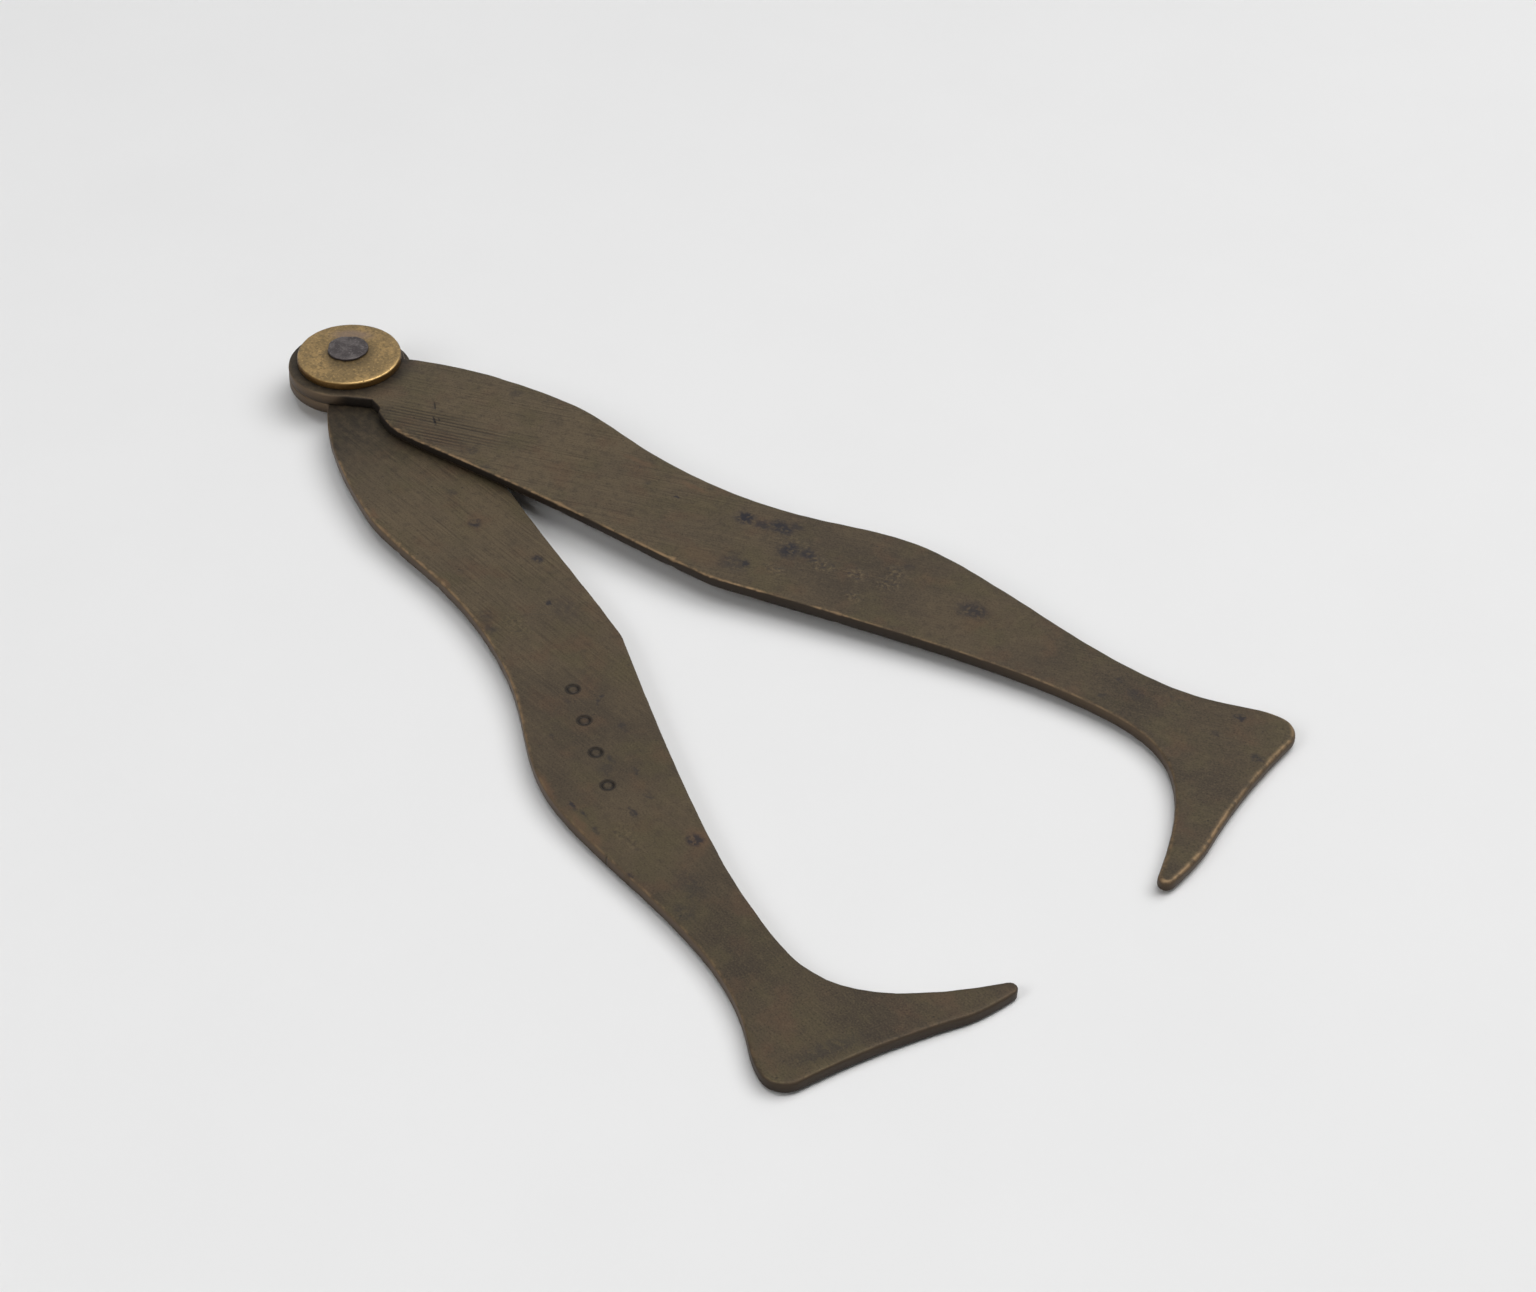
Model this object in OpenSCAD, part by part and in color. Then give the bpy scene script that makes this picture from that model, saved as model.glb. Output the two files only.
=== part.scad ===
// Leg-shaped caliper: two flat plates, each cut as a bent leg, turn on a rivet at the hip.
// Z is the pivot axis, X halves the angle between the legs and points to the feet, and the
// underside of the rivet is at Z = 0. Sizes along a leg count from the pivot, and sizes
// across it from the line that joins the pivot to the middle of the ankle. The front of a
// leg, with knee and toe, faces the other leg.

/* [Setting] */
// Angle between the middle line and each leg, degrees
half_open = 15; // [10:0.5:30]

/* [Plates] */
// Thickness of each leg
leg_t = 1.2; // [0.8:0.1:2.5]
// Running space between a turning leg and what it turns against
lap_gap = 0.02; // [0.01:0.01:0.05]

/* [Hip] */
// Where the back of the thigh leaves the head, degrees from the leg's line
nape_angle = 42; // [30:0.5:50]
// How steeply the back of the thigh leaves the head, degrees from the leg's line
nape_lean = 26.5; // [15:0.5:40]
// Roundness of the back just after the head
nape_round = 5.5; // [1:0.5:6.5]
// Bottom of the notch in front of the head, along the leg
notch_at = 6; // [5.8:0.1:7]
// Bottom of the notch, across the leg
notch_front = 3.9; // [3.6:0.1:4.5]
// Where the floor of the notch ends, along the leg
floor_at = 7.4; // [7.2:0.1:7.6]
// End of the floor of the notch, across the leg
floor_front = 4.45; // [4.2:0.05:4.8]
// Where the front of the hip starts after a small step, along the leg
brow_at = 7.8; // [7.7:0.1:9]
// Start of the front of the hip, across the leg
brow_front = 5.1; // [4.9:0.05:5.5]
// How steeply the front of the hip starts, degrees from the leg's line
brow_lean = 26; // [10:1:40]
// Roundness of the hip just after the step
brow_round = 2.5; // [1:0.5:4]
// Where the front of the hip is full
hip_at = 15; // [13:0.5:20]
// Front of the hip there
hip_front = 6.7; // [5.5:0.05:8]
// Roundness of the front of the hip
hip_round = 5; // [1:0.5:6]

/* [Thigh and knee] */
// Where the back of the thigh is fullest
thigh_at = 22; // [17:0.5:26]
// Back of the thigh there
thigh_back = 6.85; // [5:0.05:9]
// Roundness of the back of the thigh
thigh_round = 6; // [3:0.5:8]
// Roundness of the hollow behind the knee
hollow_round = 10.5; // [5:0.5:12]
// Reach of the straight front of the thigh below the hip
front_reach = 22; // [5:0.5:25]
// Roundness of the front of the thigh above the kneecap
knee_turn = 10; // [2:0.5:12]
// Where the kneecap stands out
knee_at = 49; // [42:0.5:54]
// Roundness of the kneecap towards the shin
knee_round = 0.5; // [0.5:0.5:8]

/* [Calf and ankle] */
// Roundness of the calf
calf_round = 7; // [3:0.1:9]
// Where the front of the ankle is slimmest
shin_at = 82.5; // [76:0.5:88]
// Front of the ankle there
shin_front = 2.95; // [2:0.05:5]
// Roundness of the shin above the ankle
shin_round = 10; // [4:0.5:14]
// Where the back of the ankle is slimmest
ankle_at = 90; // [84:0.5:92]
// Roundness of the back of the ankle towards the calf
ankle_round = 8.5; // [3:0.5:10]
// Roundness of the back of the ankle towards the heel
ankle_turn = 6; // [3:0.5:7]

/* [Foot] */
// Distance of the upper leg's sole from the pivot
sole_at = 102.9; // [100:0.1:112]
// Roundness above the heel
heel_sweep = 3; // [1:0.5:4]
// Radius of the heel's corner
heel_r = 2.2; // [0.8:0.1:2.5]
// Hollow of the sole under the arch
arch = 0.4; // [0.1:0.05:1.2]
// Ball of the foot, across the leg
ball_front = 12.6; // [10:0.1:15.5]
// How far the ball stays back from the line of the heel
ball_lift = 0.25; // [0:0.05:0.6]
// Roundness of the ball towards the toe
ball_round = 1.6; // [0.5:0.1:2.5]
// Lift of the middle of the toe's tip above the sole
toe_lift = 1.45; // [1.1:0.05:3]
// Where the round tip of the toe ends, degrees before it is level with the sole
toe_turn = 12; // [0:1:40]
// Roundness of the sole just after the tip of the toe
toe_sweep = 1.6; // [0.5:0.1:2.5]
// Roundness of the instep below the ankle
instep_round = 10; // [6:0.5:13]
// Reach of the straight front of the toe
toe_reach = 15; // [8:0.5:16]
// Lean of the front of the toe, degrees from the sole's line
toe_lean = 12.5; // [8:0.5:24]

/* [Upper leg] */
// Radius of its round head
upper_head_r = 5.8; // [5.4:0.05:6.4]
// How far the middle of its round head lies in front of the pivot
upper_head_front = 0.45; // [0:0.05:0.6]
// Front of its kneecap
upper_knee_front = 7.7; // [6:0.05:9.5]
// Where the hollow behind its knee is deepest
upper_hollow_at = 42.3; // [38:0.1:48]
// Back of its knee there
upper_hollow_back = 4.05; // [2.5:0.05:5]
// Where its calf is fullest
upper_calf_at = 63; // [58:0.1:70]
// Back of its calf there
upper_calf_back = 7.45; // [5.5:0.05:9]
// Back of its ankle
upper_ankle_back = 3.05; // [2:0.05:4.5]
// Back of its heel
upper_heel_back = 5.05; // [4:0.05:7]
// Tip of its toe, across the leg
upper_toe_front = 19.1; // [17.5:0.1:24]
// Radius of the tip of its toe
upper_toe_r = 0.75; // [0.4:0.05:1]

/* [Lower leg] */
// Radius of its round head
lower_head_r = 6.15; // [5.4:0.05:6.4]
// How far the middle of its round head lies in front of the pivot
lower_head_front = 0; // [0:0.05:0.6]
// Front of its kneecap
lower_knee_front = 7.55; // [6:0.05:9.5]
// Where the hollow behind its knee is deepest
lower_hollow_at = 44.1; // [38:0.1:48]
// Back of its knee there
lower_hollow_back = 3.55; // [2.5:0.05:5]
// Where its calf is fullest
lower_calf_at = 64.7; // [58:0.1:70]
// Back of its calf there
lower_calf_back = 6.8; // [5.5:0.05:9]
// Back of its ankle
lower_ankle_back = 2.75; // [2:0.05:4.5]
// Back of its heel
lower_heel_back = 4.45; // [4:0.05:7]
// How much shorter it is than the upper leg
lower_short = 0.3; // [0:0.1:1]
// Tip of its toe, across the leg
lower_toe_front = 18.2; // [17.5:0.1:24]
// Radius of the tip of its toe
lower_toe_r = 0.65; // [0.4:0.05:1]

/* [Punched rings] */
// Number of rings in the row on the lower leg's calf
mark_count = 4; // [1:1:5]
// Outer diameter of a ring
mark_d = 1.25; // [0.8:0.05:1.8]
// Width of a ring's groove
mark_w = 0.25; // [0.15:0.05:0.35]
// Depth of a ring's groove
mark_depth = 0.12; // [0.05:0.01:0.3]
// First ring, along the leg
mark_at = 53.7; // [50:0.1:58]
// First ring, towards the front of the leg
mark_front = 0.6; // [0:0.1:2]
// Distance from ring to ring
mark_pitch = 4.25; // [2.5:0.05:5]
// Turn of the row from the leg's line towards the back, degrees
mark_turn = 10.5; // [0:0.5:20]

/* [Washers] */
// Diameter of the washers
washer_d = 10.4; // [8:0.1:12]
// Thickness of the washers
washer_t = 0.85; // [0.5:0.05:1.5]
// Bevel round a washer's outer face
washer_bevel = 0.15; // [0.05:0.05:0.3]

/* [Rivet] */
// Diameter of the shank
rivet_d = 2.8; // [2:0.1:3]
// Radial space between the shank and its holes
pin_gap = 0.04; // [0.02:0.01:0.08]
// Diameter of the hammered heads
rivet_head_d = 4.2; // [4.2:0.1:6]
// Height of the hammered heads
rivet_head_h = 0.3; // [0.25:0.05:0.8]
// Bevel round the hammered heads
rivet_bevel = 0.12; // [0.05:0.01:0.2]
// How far the top head is hammered away from the feet
peen_back = 0.55; // [0:0.05:0.6]
// How far the top head is hammered towards the upper leg's side
peen_side = 0.25; // [0:0.05:0.3]

/* [Hidden] */
$fn = 96;
// Pieces of each curve and of each round corner
curve_steps = 16;
corner_steps = 8;
// Overrun of a cut past the face it starts from
over = 1;
// How far inside the round head the outline of a leg starts and ends
root = 0.15;

bore_r = rivet_d / 2 + pin_gap;
bottom_washer_z = rivet_head_h;
lower_leg_z = bottom_washer_z + washer_t;
upper_leg_z = lower_leg_z + leg_t + lap_gap;
top_washer_z = upper_leg_z + leg_t + lap_gap;
top_head_z = top_washer_z + washer_t;

bronze = [0.43, 0.39, 0.31];
dark_bronze = [0.37, 0.34, 0.28];
worn_brass = [0.74, 0.62, 0.38];
iron = [0.48, 0.46, 0.48];

// Step of a given length in a given direction
function polar(length, angle) = length * [cos(angle), sin(angle)];

// Points after a up to d on a cubic curve that leaves a towards b and meets d from c
function curve(a, b, c, d) = [
    for (i = [1 : curve_steps])
        let (u = i / curve_steps, v = 1 - u)
            v * v * v * a + 3 * v * v * u * b + 3 * v * u * u * c + u * u * u * d
];

// Curve between two swells or hollows, level with the leg's line at both ends
function sway(a, b, a_round, b_round) =
    let (way = sign(b.x - a.x))
        curve(a, a + [way * a_round, 0], b - [way * b_round, 0], b);

// Points after the first on a round corner that turns left
function corner(centre, r, from, to) = [
    for (i = [1 : corner_steps])
        centre + polar(r, from + (to - from) * i / corner_steps)
];

notch = [notch_at, -notch_front];
notch_end = [floor_at, -floor_front];
brow = [brow_at, -brow_front];
hip = [hip_at, -hip_front];
thigh = [thigh_at, thigh_back];
shin = [shin_at, -shin_front];

// Neck, notch, thigh, knee, shin and instep to the inside of the toe. The straight front of
// the neck leaves the round head almost on a tangent and ends in the notch.
function front_line(head, root_r, knee, toe, toe_r) =
    let (
        way = notch - head,
        neck = head + polar(root_r, atan2(way.y, way.x) - acos(root_r / norm(way))),
        toe_inside = toe - [toe_r, 0]
    )
    concat(
        [neck, notch, notch_end, brow],
        curve(brow, brow + polar(brow_round, -brow_lean), hip - [hip_round, 0], hip),
        sway(hip, knee, front_reach, knee_turn),
        sway(knee, shin, knee_round, shin_round),
        curve(shin, shin + [instep_round, 0], toe_inside + polar(toe_reach, 90 + toe_lean), toe_inside)
    );

// Round tip of the toe, then the sole and the round corner of the heel. A cubic curve dips
// by three quarters of the shift of its two handles.
function sole_line(toe, toe_r, heel) =
    let (
        toe_end = toe + polar(toe_r, -toe_turn),
        heel_foot = heel + [heel_r, -heel_r],
        ball = [heel_foot.x - ball_lift, -ball_front],
        third = (heel_foot - ball) / 3,
        dip = [arch / 0.75, 0],
        rise = third - dip
    )
    concat(
        corner(toe, toe_r, 180, 360 - toe_turn),
        curve(
            toe_end,
            toe_end + polar(toe_sweep, 90 - toe_turn),
            ball - rise * ball_round / norm(rise),
            ball
        ),
        curve(ball, ball + rise, heel_foot - third - dip, heel_foot),
        corner(heel - [0, heel_r], heel_r, 0, 90)
    );

// Ankle, calf, hollow of the knee and thigh, from the heel back to the head
function back_line(heel, ankle, calf, hollow, nape) = concat(
    sway(heel, ankle, heel_sweep, ankle_turn),
    sway(ankle, calf, ankle_round, calf_round),
    sway(calf, hollow, calf_round, hollow_round),
    sway(hollow, thigh, hollow_round, thigh_round),
    curve(thigh, thigh - [thigh_round, 0], nape + polar(nape_round, nape_lean), nape)
);

// Flat plate of one leg with its bore, front towards -Y
module leg_plate(
    head_r, head_front, knee_front, hollow, calf, ankle_back, heel_back, sole_at, toe_front, toe_r
) {
    head = [0, -head_front];
    knee = [knee_at, -knee_front];
    ankle = [ankle_at, ankle_back];
    heel = [sole_at - heel_r, heel_back];
    toe = [sole_at - toe_lift, toe_r - toe_front];
    root_r = head_r - root;
    nape = head + polar(root_r, nape_angle);
    difference() {
        linear_extrude(leg_t) {
            translate(head)
                circle(head_r);
            polygon(concat(
                front_line(head, root_r, knee, toe, toe_r),
                sole_line(toe, toe_r, heel),
                back_line(heel, ankle, calf, hollow, nape)
            ));
        }
        translate([0, 0, -over])
            cylinder(r = bore_r, h = leg_t + 2 * over);
    }
}

// Groove of one punched ring, cut down from Z = 0
module ring_groove() {
    translate([0, 0, -mark_depth])
        difference() {
            cylinder(d = mark_d, h = mark_depth + over);
            translate([0, 0, -over])
                cylinder(d = mark_d - 2 * mark_w, h = mark_depth + 3 * over);
        }
}

module lower_leg() {
    color(dark_bronze)
        translate([0, 0, lower_leg_z])
            rotate(-half_open)
                mirror([0, 1, 0])
                    difference() {
                        leg_plate(
                            head_r = lower_head_r,
                            head_front = lower_head_front,
                            knee_front = lower_knee_front,
                            hollow = [lower_hollow_at, lower_hollow_back],
                            calf = [lower_calf_at, lower_calf_back],
                            ankle_back = lower_ankle_back,
                            heel_back = lower_heel_back,
                            sole_at = sole_at - lower_short,
                            toe_front = lower_toe_front,
                            toe_r = lower_toe_r
                        );
                        for (i = [0 : mark_count - 1])
                            translate([mark_at, -mark_front, leg_t])
                                rotate(mark_turn)
                                    translate([i * mark_pitch, 0, 0])
                                        ring_groove();
                    }
}

module upper_leg() {
    color(bronze)
        translate([0, 0, upper_leg_z])
            rotate(half_open)
                leg_plate(
                    head_r = upper_head_r,
                    head_front = upper_head_front,
                    knee_front = upper_knee_front,
                    hollow = [upper_hollow_at, upper_hollow_back],
                    calf = [upper_calf_at, upper_calf_back],
                    ankle_back = upper_ankle_back,
                    heel_back = upper_heel_back,
                    sole_at = sole_at,
                    toe_front = upper_toe_front,
                    toe_r = upper_toe_r
                );
}

// Washer with its plain face at Z = 0 and its bevelled face up
module washer() {
    rotate_extrude()
        polygon([
            [bore_r, 0],
            [washer_d / 2, 0],
            [washer_d / 2, washer_t - washer_bevel],
            [washer_d / 2 - washer_bevel, washer_t],
            [bore_r, washer_t]
        ]);
}

module bottom_washer() {
    color(worn_brass)
        translate([0, 0, lower_leg_z])
            mirror([0, 0, 1])
                washer();
}

module top_washer() {
    color(worn_brass)
        translate([0, 0, top_washer_z])
            washer();
}

// Hammered head that stands on Z = 0
module hammered_head() {
    rotate_extrude()
        polygon([
            [0, 0],
            [rivet_head_d / 2, 0],
            [rivet_head_d / 2, rivet_head_h - rivet_bevel],
            [rivet_head_d / 2 - rivet_bevel, rivet_head_h],
            [0, rivet_head_h]
        ]);
}

module rivet() {
    color(iron)
        union() {
            translate([0, 0, bottom_washer_z])
                cylinder(d = rivet_d, h = top_head_z - bottom_washer_z);
            translate([0, 0, bottom_washer_z])
                mirror([0, 0, 1])
                    hammered_head();
            translate([-peen_back, peen_side, top_head_z])
                hammered_head();
        }
}

lower_leg();
upper_leg();
bottom_washer();
top_washer();
rivet();
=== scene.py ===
"""Looks of a leg-shaped caliper: two patinated plates, two worn washers and a hammered rivet."""

import math
from collections import namedtuple
from functools import partialmethod, reduce

import bmesh
import bpy
import numpy as np
from bpy.props import FloatProperty, FloatVectorProperty, IntProperty, PointerProperty
from mathutils import Matrix, Vector, noise
from mathutils.geometry import delaunay_2d_cdt


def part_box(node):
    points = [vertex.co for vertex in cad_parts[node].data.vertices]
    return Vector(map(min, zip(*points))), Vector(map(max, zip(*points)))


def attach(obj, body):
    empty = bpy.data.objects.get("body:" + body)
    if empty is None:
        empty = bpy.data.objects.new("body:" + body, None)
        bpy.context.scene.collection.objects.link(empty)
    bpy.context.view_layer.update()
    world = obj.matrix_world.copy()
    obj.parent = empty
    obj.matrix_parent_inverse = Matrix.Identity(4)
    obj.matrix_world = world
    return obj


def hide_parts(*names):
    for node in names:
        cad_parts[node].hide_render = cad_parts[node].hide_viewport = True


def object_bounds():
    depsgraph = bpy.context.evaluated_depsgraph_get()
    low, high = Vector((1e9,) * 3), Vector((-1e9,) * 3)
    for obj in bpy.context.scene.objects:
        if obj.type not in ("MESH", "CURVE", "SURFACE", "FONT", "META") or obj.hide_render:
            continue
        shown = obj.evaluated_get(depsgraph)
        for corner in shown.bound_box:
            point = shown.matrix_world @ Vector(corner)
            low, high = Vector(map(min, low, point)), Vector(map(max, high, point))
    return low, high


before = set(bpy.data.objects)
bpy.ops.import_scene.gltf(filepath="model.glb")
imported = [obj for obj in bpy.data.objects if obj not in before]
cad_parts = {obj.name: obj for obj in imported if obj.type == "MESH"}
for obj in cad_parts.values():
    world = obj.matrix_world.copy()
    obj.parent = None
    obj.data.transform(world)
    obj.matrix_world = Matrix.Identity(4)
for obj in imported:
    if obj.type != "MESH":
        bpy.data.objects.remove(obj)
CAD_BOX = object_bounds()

bl_info = {
    "name": "Leg Caliper",
    "version": (1, 0, 0),
    "blender": (4, 5, 0),
    "location": "View3D > Sidebar > Caliper",
    "description": "Dresses the plates, washers and rivet of a leg-shaped caliper",
    "category": "Object",
}

MM = 0.001
# Points closer than this are one point
WELD = 1e-7
# A face is filled with triangles inside its edges only, and its points this close, in millimetres, are one
INSIDE = 1
CLOSE = 1e-6
# Turns sharper than this are corners of an outline, and creases in the shading
CORNER = math.radians(28)
CREASE = math.radians(40)
# Angle between the middle line of the caliper and each leg
HALF_OPEN = math.radians(15)
# Slopes round a worn edge, from its wall to its face, and how far each is rubbed bare
WORN_EDGE = list(zip(np.radians([0, 22.5, 45, 67.5, 90]), (0.1, 0.45, 0.9, 1.0, 0.6)))
# Inward way, in the frame, of the edges that are painted brightest: rubbed bare, and given a painted
# highlight where they face the camera
WEAR_AND_HIGHLIGHT_WAY = (-0.35, 0.94)
# Width of a nick in an edge
NICK_WIDTH = 0.35 * MM
# Layers of the random noise, one for each thing that it shapes
LAYERS = {
    "edge": 1, "hollow": 3, "rubbing": 25, "fine rubbing": 26, "ridge sway": 21, "ridge strokes": 22,
    "rim": 5, "rim rounding": 6, "face dents": 7, "rim rubbing": 8,
    "bottom head": 11, "bottom hammering": 12, "top head": 15, "top hammering": 16,
}
# Stretches of a leg, in millimetres from the pivot, over which something comes in or goes out
RIDGES_IN = (6.6, 8)
HOLLOWS_IN = (8, 16)
RUBBING_IN = (8, 13)
THIGH_IN = (9, 13)
THIGH_OUT = (36, 60)
CALF_IN = (52, 66)
SOLE_IN = (97, 101)

# Places on a leg are millimetres along it from the pivot, and across it towards its back
Blot = namedtuple("Blot", "along across long wide depth turn", defaults=(0.0,))


def blots(*rows):
    """Blots from rows of their values, with their turns in degrees."""
    return [Blot(*row[:5], *map(math.radians, row[5:])) for row in rows]


# Painted shade and soot round the hip, which is full up to the near distance from the pivot and gone at the
# far one
Shade = namedtuple("Shade", "near far depth")
Leg = namedtuple(
    "Leg",
    "node body slot mirror file_turn undercut foot_rub wall_grime ridges shade nicks"
    " stains pitted rust scratches",
)

UPPER_LEG = Leg(
    node="upper_leg",
    body="upper",
    slot="bronze",
    mirror=1,
    file_turn=math.radians(16),
    undercut=0.22,
    foot_rub=0.85,
    # Strength of the painted shade on the walls
    wall_grime=0.88,
    ridges=Blot(12.5, -4.6, 11.0, 3.6, 1.0, math.radians(16)),
    shade=Shade(near=5.1, far=7.4, depth=0.8),
    nicks=((61.2, -5.2), (31.0, -7.2), (44.5, -7.8)),
    stains=blots(
        (46.7, 1.5, 1.3, 1.2, 1.0), (48.6, 1.5, 1.3, 0.9, 0.75), (50.3, 2.2, 1.7, 1.1, 0.95),
        (51.4, 3.1, 0.9, 0.7, 0.6), (52.7, -0.3, 1.4, 1.5, 0.95), (54.5, 0.2, 1.2, 1.1, 0.85),
        (49.5, -4.7, 1.9, 1.6, 0.5), (50.5, -4.3, 0.6, 0.5, 0.9), (63.1, 4.0, 0.8, 0.7, 0.35),
        (71.2, 2.0, 2.0, 1.5, 0.75), (86.4, -1.6, 0.6, 0.5, 0.5), (86.7, 1.1, 0.5, 0.5, 0.5),
        (88.7, 0.3, 1.0, 0.8, 0.5), (92.1, 1.7, 0.8, 0.5, 0.35), (97.8, 2.8, 0.8, 0.5, 0.85),
        (97.0, -0.3, 0.6, 0.4, 0.4), (101.3, -1.0, 0.8, 0.7, 0.65), (16.9, 5.1, 1.1, 0.8, 0.4),
        (19.3, -4.9, 0.9, 0.6, 0.35), (21.8, -6.3, 0.8, 0.6, 0.35), (39.5, 0.5, 0.5, 0.3, 0.8),
        (36.0, 0.6, 0.6, 0.4, 0.4),
    ),
    pitted=blots(
        (53.1, -3.4, 1.3, 0.9, 0.9), (56.3, -0.3, 1.9, 1.1, 1.0), (59.7, 0.3, 1.4, 1.2, 1.0),
        (62.9, 0.8, 1.6, 1.3, 0.9), (62.6, 2.6, 1.3, 0.9, 0.9), (61.0, -2.6, 1.2, 0.9, 0.8),
        (52.5, 0.6, 3.2, 1.8, 0.6),
    ),
    rust=blots(
        (33.4, 3.0, 2.6, 0.5, 0.6), (40.0, 2.6, 2.2, 0.4, 0.6), (46.2, -5.6, 3.0, 1.6, 0.4),
    ),
    scratches=blots(
        (11.75, -1.2, 0.9, 0.11, 0.8, -47), (13.26, -3.18, 0.9, 0.15, 1.0, -41),
        (13.55, -2.8, 0.5, 0.1, 0.7, -40),
    ),
)
LOWER_LEG = Leg(
    node="lower_leg",
    body="lower",
    slot="dark_bronze",
    mirror=-1,
    file_turn=math.radians(-15),
    undercut=0.0,
    foot_rub=0.3,
    # Strength of the painted shade on the walls
    wall_grime=0.1,
    ridges=None,
    shade=Shade(near=9.0, far=21.0, depth=0.7),
    nicks=((28.1, 6.0), (34.5, 4.3), (76.8, 5.2)),
    stains=blots(
        (22.9, -1.5, 0.7, 0.6, 0.45), (28.3, -1.8, 0.8, 0.7, 0.8), (35.6, -5.0, 0.8, 0.6, 0.8),
        (42.0, -3.4, 0.6, 0.35, 0.85), (43.5, -4.5, 2.4, 1.6, 0.3), (41.2, 2.6, 1.2, 0.8, 0.45),
        (43.0, 2.8, 1.0, 0.7, 0.45), (55.6, -2.5, 0.3, 0.3, 0.7), (56.2, -1.9, 0.5, 0.3, 0.6),
        (55.0, 0.5, 0.8, 0.4, 0.35), (60.1, -2.6, 0.9, 0.5, 0.5), (63.4, 0.1, 0.9, 0.4, 0.5),
        (64.3, 1.0, 1.0, 1.0, 0.35), (65.7, -1.3, 0.7, 0.3, 0.5), (68.9, -0.9, 0.5, 0.3, 0.5),
        (70.2, 1.2, 0.8, 0.3, 0.7), (67.2, 5.4, 0.8, 0.3, 0.8), (68.6, 4.9, 0.8, 0.3, 0.7),
        (70.8, 4.9, 0.5, 0.4, 0.6), (75.3, -2.1, 1.0, 0.9, 0.85), (58.5, 3.5, 0.4, 0.3, 0.5),
        (76.8, 4.9, 0.6, 0.6, 0.9), (80.0, 0.5, 2.4, 1.6, 0.35), (82.5, 2.2, 1.6, 1.2, 0.35),
        (100.6, -1.3, 1.1, 4.2, 0.4),
    ),
    pitted=blots(
        (43.6, 0.4, 2.4, 1.6, 0.6), (72.5, 3.0, 2.4, 1.4, 0.5),
    ),
    rust=blots(
        (22.9, 6.2, 1.0, 0.5, 0.8), (26.1, 6.4, 1.4, 0.5, 0.8), (35.2, 4.1, 1.2, 0.5, 0.8),
        (64.0, 6.6, 2.6, 0.7, 0.9), (69.6, 5.9, 2.2, 0.7, 0.7), (71.6, 5.5, 1.4, 0.6, 0.6),
        (75.3, -2.4, 1.7, 1.3, 0.6),
    ),
    scratches=blots((43.0, -2.0, 1.4, 0.06, 0.5, -62)),
)
# Points round a punched ring, and the way to which its punch was held aslant
RING_TURNS = 28
PUNCH_SLANT = math.radians(120)
# Share of a ring's depth to which its middle is pressed, and the dirt of its middle and its edges
MIDDLE_DEPTH = 0.1
MIDDLE_DIRT = 0.3
EDGE_DIRT = 0.9
# Ways, in degrees, in which a rivet head is hammered flat, and how near the middle each flat lies
RIVET_FLATS = ((227, 0.94), (140, 0.94), (8, 0.97), (300, 0.98))
# How far a rivet head is tucked in where it sits, and the share of its hammering that domes it
HEAD_TUCK = 0.03 * MM
DOMED = 0.6
# Bevel round the back of a washer, and the middle of the stretch of its rim that gets a painted highlight
BACK_BEVEL = 0.06 * MM
RIM_HIGHLIGHT = math.radians(5)
# Grey bloom on a washer, from the pivot
WASHER_BLOOM = Blot(-2.3, 2.1, 1.2, 2.6, 0.7, math.radians(137))

# Width of the camera's sensor in millimetres, and the distance in metres from which it sees
SENSOR = 36
SEEN_FROM = 0.01
# Lines of the floor's mesh under and round the caliper
FLOOR_LINES = 121
# Soft square lamps: power in watts, side in metres, angle over the floor, and turn from the camera's right
Lamp = namedtuple("Lamp", "name watts side rise turn")
LAMPS = (
    Lamp("key", 5.3, 0.75, 60, 22),
    Lamp("top", 2.1, 0.45, 78, -110),
    Lamp("left", 1.9, 0.4, 38, -140),
)


def rgb(red, green, blue):
    """A colour of three 0 to 255 screen values as linear values."""
    shares = [value / 255 for value in (red, green, blue)]
    return [s / 12.92 if s <= 0.04045 else ((s + 0.055) / 1.055) ** 2.4 for s in shares]


def colour(name, description, value):
    """A colour that a user can change."""
    return FloatVectorProperty(
        name=name, description=description, subtype="COLOR", min=0, max=1, default=rgb(*value)
    )


def number(name, description, value, **settings):
    """A number that a user can change."""
    return FloatProperty(name=name, description=description, default=value, **settings)


def size(name, description, value):
    """A length in millimetres that a user can change."""
    return number(name, description, value * MM, subtype="DISTANCE", unit="LENGTH", precision=5)


def distance(name, description, value):
    """A distance in metres that a user can change."""
    return number(name, description, value, subtype="DISTANCE", unit="LENGTH")


def angle(name, description, value):
    """An angle in degrees that a user can change."""
    return number(name, description, math.radians(value), subtype="ANGLE")


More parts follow.
